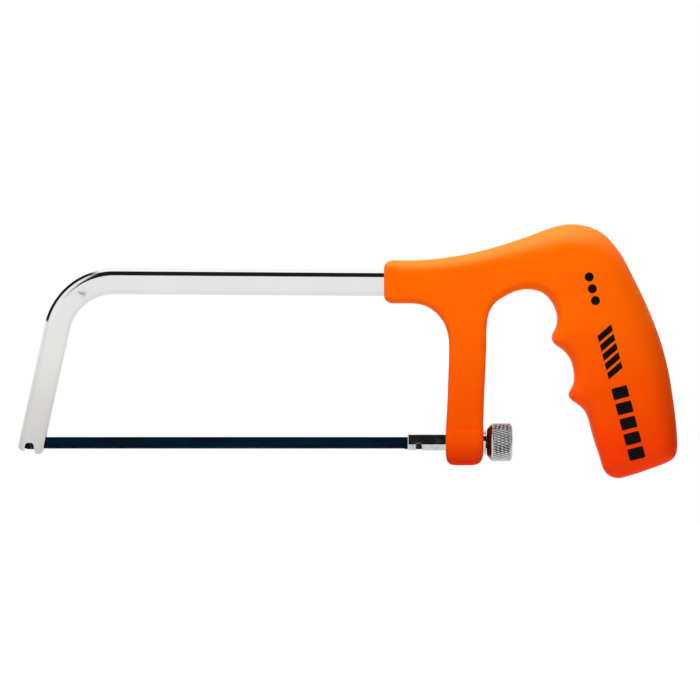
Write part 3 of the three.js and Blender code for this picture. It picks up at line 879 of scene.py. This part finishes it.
def close_at_parting(shell, form):
    """Trims a half at the parting line and closes it with a chamfered flat face."""
    chamfer = 0.2
    work = bmesh.new()
    work.from_mesh(shell.data)
    geometry = work.verts[:] + work.edges[:] + work.faces[:]
    plane = (0, (PARTING + chamfer) * MM, 0)
    bmesh.ops.bisect_plane(
        work, geom=geometry, plane_co=plane, plane_no=(0, 1, 0), clear_inner=True, dist=1e-7)
    rim = [edge for edge in work.edges if edge.is_boundary]
    lip = bmesh.ops.extrude_edge_only(work, edges=rim)["geom"]
    lip_points = [part for part in lip if isinstance(part, bmesh.types.BMVert)]
    for point in lip_points:
        slope = Vector(form.slope(point.co.x / MM, 0, point.co.z / MM, gap=0.2))
        point.co -= slope.normalized() * chamfer * MM
        point.co.y = PARTING * MM
    lip_edges = [part for part in lip if isinstance(part, bmesh.types.BMEdge) and part.is_boundary]
    bmesh.ops.edgeloop_fill(work, edges=lip_edges)
    bmesh.ops.recalc_face_normals(work, faces=work.faces)
    work.to_mesh(shell.data)
    work.free()


def handle_cutters():
    """The room that the bar, drawbar, bush and washer take in the handle."""
    line = bar_line()
    channel = sweep_bar("channel", line[line[:, 0] > 2], 0.12)
    in_front, behind = 30, 60  # clear of the boss
    side = DRAWBAR_HALF + 0.2
    hole = block(
        "hole", (in_front, -side, AXIS_Z - side), (guide_high[0] + 1.5, side, AXIS_Z + side))
    pocket = WASHER_RADIUS + 0.25
    rear = washer_low[0] - 0.3
    stepped = [(guide_high[0] + 1, BORE), (rear, BORE), (rear, pocket), (behind, pocket)]
    return channel, hole, tube_object("bore", turned_rings(stepped))


def mirrored(made, name):
    """A copy of a piece on the other side of the middle plane."""
    mesh = made.data.copy()
    points = np.empty(len(mesh.vertices) * 3)
    mesh.vertices.foreach_get("co", points)
    points[1::3] *= -1
    mesh.vertices.foreach_set("co", points)
    mesh.flip_normals()
    return add_to_scene(name, mesh)


def make_handle(form):
    right = handle_half(form)
    carve(right, *handle_cutters())
    right.name = "handle_half_right"
    left = mirrored(right, "handle_half_left")
    for half, node in ((right, "handle_shell_right"), (left, "handle_shell_left")):
        shade(half, 38)
        place_piece(half, "frame", "handle_plastic", node)


# ---- printed marks ----

PRINT_LEAN = math.radians(14.7)  # between the marks' axis and upright
PRINT_MIDDLE = (98.5, 47.6)


def print_place(along, across):
    """Where a mark's point lies: along is up the grip, across is towards its back."""
    sine, cosine = math.sin(PRINT_LEAN), math.cos(PRINT_LEAN)
    x = PRINT_MIDDLE[0] - along * sine + across * cosine
    z = PRINT_MIDDLE[1] + along * cosine + across * sine
    return x, z


def rounded_box(along, across, length, width, radius):
    """A rounded rectangle among the marks, centred at (along, across)."""
    points = []
    for side_a, side_b, start in ((1, 1, 0), (-1, 1, 90), (-1, -1, 180), (1, -1, 270)):
        centre = (along + side_a * (length / 2 - radius), across + side_b * (width / 2 - radius))
        points += arc(centre, radius, start, start + 90, 5)
    return points


def film(name, outlines, form, lift):
    """Thin ink over the left face of the grip, following its curve."""
    points, faces = [], []
    for outline in outlines:
        outline = np.asarray(outline)
        low, high = outline.min(axis=0), outline.max(axis=0)
        a, b = np.meshgrid(np.arange(low[0] + 0.7, high[0], 1.1), np.arange(low[1] + 0.7, high[1], 1.1))
        filling = np.stack([a.ravel(), b.ravel()], axis=1)
        flat = [Vector(p) for p in np.vstack([outline, filling])]
        ring = [(k, (k + 1) % len(outline)) for k in range(len(outline))]
        spots, _, triangles, _, _, _ = delaunay_2d_cdt(flat, ring, [], 1, 1e-5)
        start = len(points)
        for spot in spots:
            x, z = print_place(*spot)
            points.append((x, -float(form.surface_y(x, z)) - lift, z))
        faces += [[start + corner for corner in triangle] for triangle in triangles]
    made = new_object(name, points, faces)
    face_outward(made)
    modifier = made.modifiers.new("thickness", "SOLIDIFY")
    modifier.thickness = 0.04 * MM
    modifier.offset = 0
    bake_modifiers(made)
    shade(made, 50)
    made.data.materials.append(MATERIALS["printing_ink"])
    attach(made, "frame")


def slanted_bar(along, length, width, slant):
    """A parallelogram across the print's axis."""
    half = width / 2
    return [
        (along - length / 2 - slant, -half), (along + length / 2 - slant, -half),
        (along + length / 2 + slant, half), (along - length / 2 + slant, half),
    ]


def make_print(form):
    """Plain marks: three dots, a hatched patch and a row of bars."""
    dots = [arc((24.6 + 4.6 * k, -0.4), 1.7, 0, 345, 23) for k in (-1, 0, 1)]
    hatch = [slanted_bar(7.2 - 3.6 * k, length=2.5, width=6.1, slant=1.5) for k in range(5)]
    bars = [
        rounded_box(-15.8 - 5.9 * k, -0.1, length=4.4, width=6.0, radius=0.5)
        for k in range(5)
    ]
    film("print_marks", dots + hatch + bars, form, lift=0.03)


# ---- blade ----


def end_stations(start, stop):
    """Places along a plain end of the blade, close together at its rounded corner."""
    corner = start + BLADE_END_ROUND * (1 - np.cos(np.radians(np.linspace(0, 90, 9))))
    return [*corner, *np.linspace(corner[-1] + 0.5, stop, 4)]


def end_rise(distance):
    """How far the rounded corner lifts the blade's lower edge, this far from its end."""
    short = np.clip(BLADE_END_ROUND - distance, 0, BLADE_END_ROUND - 0.01)
    return float(BLADE_END_ROUND - math.sqrt(BLADE_END_ROUND**2 - short**2))


def make_blade():
    """The strip with its teeth, set in a wave from side to side."""
    tip, top = blade_low[2], blade_high[2]
    half = (blade_high[1] - blade_low[1]) / 2
    first = FRONT_PIN_X + PLAIN_END
    teeth = int((REAR_PIN_X - FRONT_PIN_X - 2 * PLAIN_END) / TOOTH_PITCH)
    columns = [(x, 0.0, tip + end_rise(x - blade_low[0])) for x in end_stations(blade_low[0], first)]
    for tooth in range(teeth):
        x = first + tooth * TOOTH_PITCH
        lean = WAVE_SET * math.sin(2 * math.pi * tooth / WAVE_TEETH)
        columns.append((x + 0.12, lean * 0.4, tip + TOOTH_DEPTH * 0.9))
        columns.append((x + TOOTH_FACE * 0.75, lean * 0.8, tip + TOOTH_DEPTH * 0.45))
        columns.append((x + TOOTH_PITCH, lean, tip))
    rear_run = end_stations(-blade_high[0], -columns[-1][0] - 0.3)[::-1]
    columns += [(-x, 0.0, tip + end_rise(blade_high[0] + x)) for x in rear_run]

    edge = 0.08
    bend_top = tip + 1.6
    rings = []
    for x, lean, bottom in columns:
        front, back = [], []
        for share in (0.0, 0.35, 1.0):
            z = bottom + share * (bend_top - bottom)
            shift = lean * (1 - share) ** 1.5
            front.append((x, shift - half, z))
            back.append((x, shift + half, z))
        ring = front + [(x, -half, top - edge), (x, -half + edge, top)]
        ring += [(x, half - edge, top), (x, half, top - edge)] + back[::-1]
        rings.append(ring)
    strip = tube_object("blade_with_teeth", rings)
    radius = PIN_RADIUS + 0.03
    for x in (FRONT_PIN_X, REAR_PIN_X):
        carve(strip, cross_turned("hole", [(-3, radius), (3, radius)], 32, (x, PIN_Z)))
    shade(strip, 25)
    place_piece(strip, "blade", "blade_lacquer", "blade_strip")


# ---- blade tension ----


def drawbar_section():
    """The holder's section: sides that lean a little from a forging line below the middle."""
    low, high, half = drawbar_low[2], drawbar_high[2], DRAWBAR_HALF
    line = low + 0.37 * (high - low)
    edge = 0.35
    right = [
        (half - 0.75, low), (half - 0.35, low + edge), (half, line), (half - 0.8, high - edge / 3),
        (half - 1.25, high),
    ]
    return right + [(-y, z) for y, z in reversed(right)]


def make_drawbar():
    section = drawbar_section()
    shoulder = guide_high[0] + 1.0
    front = drawbar_low[0]
    middle_z = np.mean(section, axis=0)[1]
    rings = []
    for x, shrink in ((front, 0.92), (front + 0.15, 0.975), (front + 0.35, 1.0), (shoulder, 1.0)):
        rings.append([(x, y * shrink, middle_z + (z - middle_z) * shrink) for y, z in section])
    body = tube_object("drawbar_forged", rings)
    slot_end = blade_high[0] + 2 * FIT
    slot = block("slot", (front - 2, -SLOT_HALF, 0), (slot_end, SLOT_HALF, 30))
    notch = prism("notch", notch_outline(REAR_PIN_X, 0, 0), -CLEAR, CLEAR)
    carve(body, slot, notch)
    soften(body, 0.12)
    shade(body, 8)
    join_to(body, threaded_stud(shoulder))
    place_piece(body, "drawbar", "nut_plating", "drawbar")


def threaded_stud(shoulder):
    """The stud with a real helical thread and a chamfered end."""
    end = drawbar_high[0]
    start = shoulder - 0.5
    angles = full_turn(40)
    rings = []
    for x in np.arange(start, end, THREAD_PITCH / 8):
        phase = (x / THREAD_PITCH - angles / (2 * math.pi)) % 1
        groove = 0.22 * (1 - np.abs(2 * phase - 1))
        groove = groove * smooth_step(shoulder + 2, shoulder + 3, x)
        chamfer = np.clip(x - (end - 0.6), 0, 0.6)
        rings.append(round_ring(x, STUD_RADIUS - np.maximum(groove, chamfer), angles))
    stud = tube_object("stud", rings)
    shade(stud, 60)
    return stud


def join_to(made, other):
    """Adds another object's mesh to a piece, as a second solid."""
    work = bmesh.new()
    work.from_mesh(made.data)
    work.from_mesh(other.data)
    work.to_mesh(made.data)
    work.free()
    bpy.data.objects.remove(other)


def nut_profile():
    """(x, radius, knurl share) stations of the nut, from the bore's end round to the cap."""
    front, end, outer = nut_low[0], nut_high[0], NUT_RADIUS
    bore = STUD_RADIUS + 0.15
    shoulder, knurl_end = front + 1.9, end - 0.75
    knurl_start = shoulder + 0.6
    steps = int((knurl_end - knurl_start) / KNURL_PITCH * KNURL_SAMPLES)
    before = [
        (end - 1.5, bore), (front + 0.4, bore), (front, bore + 0.4), (front, 4.6),
        (front + 0.15, 5.0), (shoulder - 0.35, outer - 0.45), (shoulder - 0.1, outer - 0.12),
        (shoulder + 0.35, outer - 0.02), (shoulder + 0.5, outer - 0.02),
    ]
    after = [
        (knurl_end + 0.12, outer - 0.25), (end - 0.25, outer - 0.75), (end - 0.06, outer - 1.4),
        (end, outer - 2.4),
    ]
    knurled = [(x, outer, 1) for x in np.linspace(knurl_start, knurl_end, steps)]
    return [(*place, 0) for place in before] + knurled + [(*place, 0) for place in after]


def make_nut():
    cells = round(2 * math.pi * NUT_RADIUS / KNURL_PITCH)
    angles = full_turn(cells * KNURL_SAMPLES)
    turns = angles / (2 * math.pi) * cells
    rings = []
    for x, radius, knurl in nut_profile():
        lean = x / KNURL_PITCH * KNURL_LEAN
        grooves = [np.abs((turns + side * lean) % 1 - 0.5) * 2 for side in (1, -1)]
        depth = KNURL_DEPTH * np.maximum(*grooves) ** 2 * knurl
        rings.append(round_ring(x, radius - depth, angles))
    nut = tube_object("knurled_nut", rings)
    shade(nut, 50)
    # the nut's material carries painted shade on its front cone and in the grooves of its knurl
    place_piece(nut, "nut", "nut_plating", "tension_nut", material="nut_painted_shade")


def make_washer():
    edge = 0.15
    low, high, radius = washer_low[0], washer_high[0], WASHER_RADIUS
    washer = washer_shape("collar_washer", [
        (low, BORE), (low, radius - edge), (low + edge, radius),
        (high - edge, radius), (high, radius - edge), (high, BORE),
    ])
    shade(washer, 30)
    place_piece(washer, "frame", "nut_plating", "thrust_washer")


def make_bush():
    edge = 0.2
    low, high = bush_low[0], bush_high[0]
    flange = (bush_high[2] - bush_low[2]) / 2
    body = flange - 0.8
    neck = high - 1.4
    bush = washer_shape("flanged_bush", [
        (low, BORE + edge), (low, body - edge), (low + edge, body), (neck, body),
        (neck, flange), (high, flange), (high, BORE + edge), (high - edge, BORE),
        (low + edge, BORE),
    ])
    shade(bush, 30)
    place_piece(bush, "frame", "plain_steel", "thrust_bush")


def make_guide():
    guide = block("square_guide", guide_low, guide_high)
    side = DRAWBAR_HALF + 0.15
    carve(guide, block(
        "passage", (guide_low[0] - 1, -side, AXIS_Z - side), (guide_high[0] + 1, side, AXIS_Z + side)))
    soften(guide, 0.25)
    shade(guide, 30)
    place_piece(guide, "frame", "plain_steel", "drawbar_guide")


# ---- studio ----


def make_world():
    """White to the camera and dim for soft light. In the plating it is pale level with the saw
    and behind it, bright overhead, dark in a band above the camera and at the upper left."""
    world = bpy.data.worlds.new("studio")
    bpy.context.scene.world = world
    s = Shader(world)
    x, y, z = s.axes(s.node("ShaderNodeTexCoord", {}).outputs["Generated"])
    rays = s.node("ShaderNodeLightPath", {}).outputs
    height = s.span(z, -1.0, 1.0)

    card = s.ramp(height, (
        (0.0, 0.86), (0.5, 0.87), (0.600, 0.87), (0.612, BLACK), (0.935, BLACK), (0.95, OVERHEAD),
    ))
    edges = s.ramp(height, (
        (0.0, 0.55), (0.46, 0.55), (0.53, 0.80), (0.93, 0.80), (0.95, OVERHEAD),
    ))
    wall = s.ramp(height, ((0.0, 0.86), (0.93, 0.95), (0.95, OVERHEAD)))
    wall = s.mix(s.span(x, 0.05, 0.30), wall, 0.45)
    around = s.mix(s.span(s.math("ABSOLUTE", x), 0.45, 0.80), card, edges)
    around = s.mix(s.span(y, 0.0, 0.2), around, wall)
    raised = s.span(s.math("MULTIPLY_ADD", x, 0.25, z), 0.0, 0.03)
    corner = s.math("MULTIPLY", raised, s.span(x, -0.22, -0.35))
    mirrored_light = s.mix(corner, around, s.mix(s.span(y, -0.50, -0.35), 0.9, BLACK))
    soft = s.ramp(height, ((0.0, 0.02), (0.5, AMBIENT), (1.0, 3 * AMBIENT)))
    lit = s.mix(rays["Is Diffuse Ray"], mirrored_light, soft)
    s.fill(s.tree.nodes["Background"], {"Color": s.mix(rays["Is Camera Ray"], lit, 1.0)})


def make_floor():
    """A white floor that the camera and the plating see as bright."""
    level = cad_box[0][2] / MM - FLOOR_DROP
    corners = [(-FLOOR_HALF, -FLOOR_HALF), (FLOOR_HALF, -FLOOR_HALF)]
    corners += [(-x, -y) for x, y in corners]
    floor = new_object("floor", [(x, y, level) for x, y in corners], [range(4)])
    s = new_material("pale_floor")
    rays = s.node("ShaderNodeLightPath", {}).outputs
    seen, mirrored_ray = rays["Is Camera Ray"], rays["Is Glossy Ray"]
    glow = s.math("ADD", seen, s.math("MULTIPLY", mirrored_ray, 0.82))
    color = s.mix(mirrored_ray, s.mix(seen, 0.85, 0.8), 0.0)
    s.fill(s.tree.nodes["Principled BSDF"], {
        "Base Color": color, "Roughness": 1.0, "Specular IOR Level": 0.0,
        "Emission Color": 1.0, "Emission Strength": glow,
    })
    floor.data.materials.append(s.owner)


# name, place, aim, width and height, all in metres, and watts
LIGHTS = [
    ("softbox_over", (-0.02, -0.09, 0.27), (0.02, 0.0, 0.07), (0.50, 0.12), 1.02),
    ("softbox_top", (0.0, 0.04, 0.40), (0.02, 0.0, 0.07), (0.50, 0.20), 1.85),
    ("softbox_left", (-0.5, -0.35, 0.14), (0.05, 0.0, 0.04), (0.5, 0.25), 0.30),
    ("softbox_right", (0.5, -0.35, 0.10), (0.10, 0.0, 0.04), (0.5, 0.25), 0.34),
    ("softbox_under", (0.03, -0.22, -0.11), (0.03, 0.0, 0.04), (0.45, 0.15), 0.37),
    ("softbox_back", (0.1, 0.9, 0.25), (0.0, 0.0, 0.05), (0.9, 0.7), 5.0),
]


def make_light(name, place, target, size, power):
    """A soft rectangular light that neither the camera nor the plating sees."""
    lamp = bpy.data.lights.new(name, "AREA")
    lamp.shape = "RECTANGLE"
    lamp.size, lamp.size_y = size
    lamp.energy = power
    made = add_to_scene(name, lamp)
    made.location = place
    made.rotation_euler = (Vector(target) - Vector(place)).to_track_quat("-Z", "Y").to_euler()
    made.visible_glossy = False
    made.visible_camera = False


def make_camera():
    """Level and square on to the saw's left side, from far enough to look parallel."""
    distance = 3.0
    view_width = 0.2639
    sensor = 36
    camera = bpy.data.cameras.new("camera")
    camera.sensor_width = sensor
    camera.lens = sensor * distance / view_width
    camera.clip_end = 20
    made = add_to_scene("camera", camera)
    made.location = (0.0009, -distance, 0.0483)
    made.rotation_euler = (math.radians(90), 0, 0)
    bpy.context.scene.camera = made


make_camera()
make_world()
make_floor()
for light in LIGHTS:
    make_light(*light)
bpy.context.scene.view_settings.view_transform = "Standard"

make_frame_bar()
handle_form = HandleForm(HANDLE_OUTLINE)
make_handle(handle_form)
make_print(handle_form)
make_blade()
make_pin("blade_pin_front", "front_blade_pin", "blade", 0.2)
make_pin("blade_pin_rear", "rear_blade_pin", "blade", 0.2)
for cross_pin in CROSS_PINS:
    make_pin(cross_pin, cross_pin.replace("cross_pin", "dowel"), "frame")
make_drawbar()
make_nut()
make_washer()
make_bush()
make_guide()
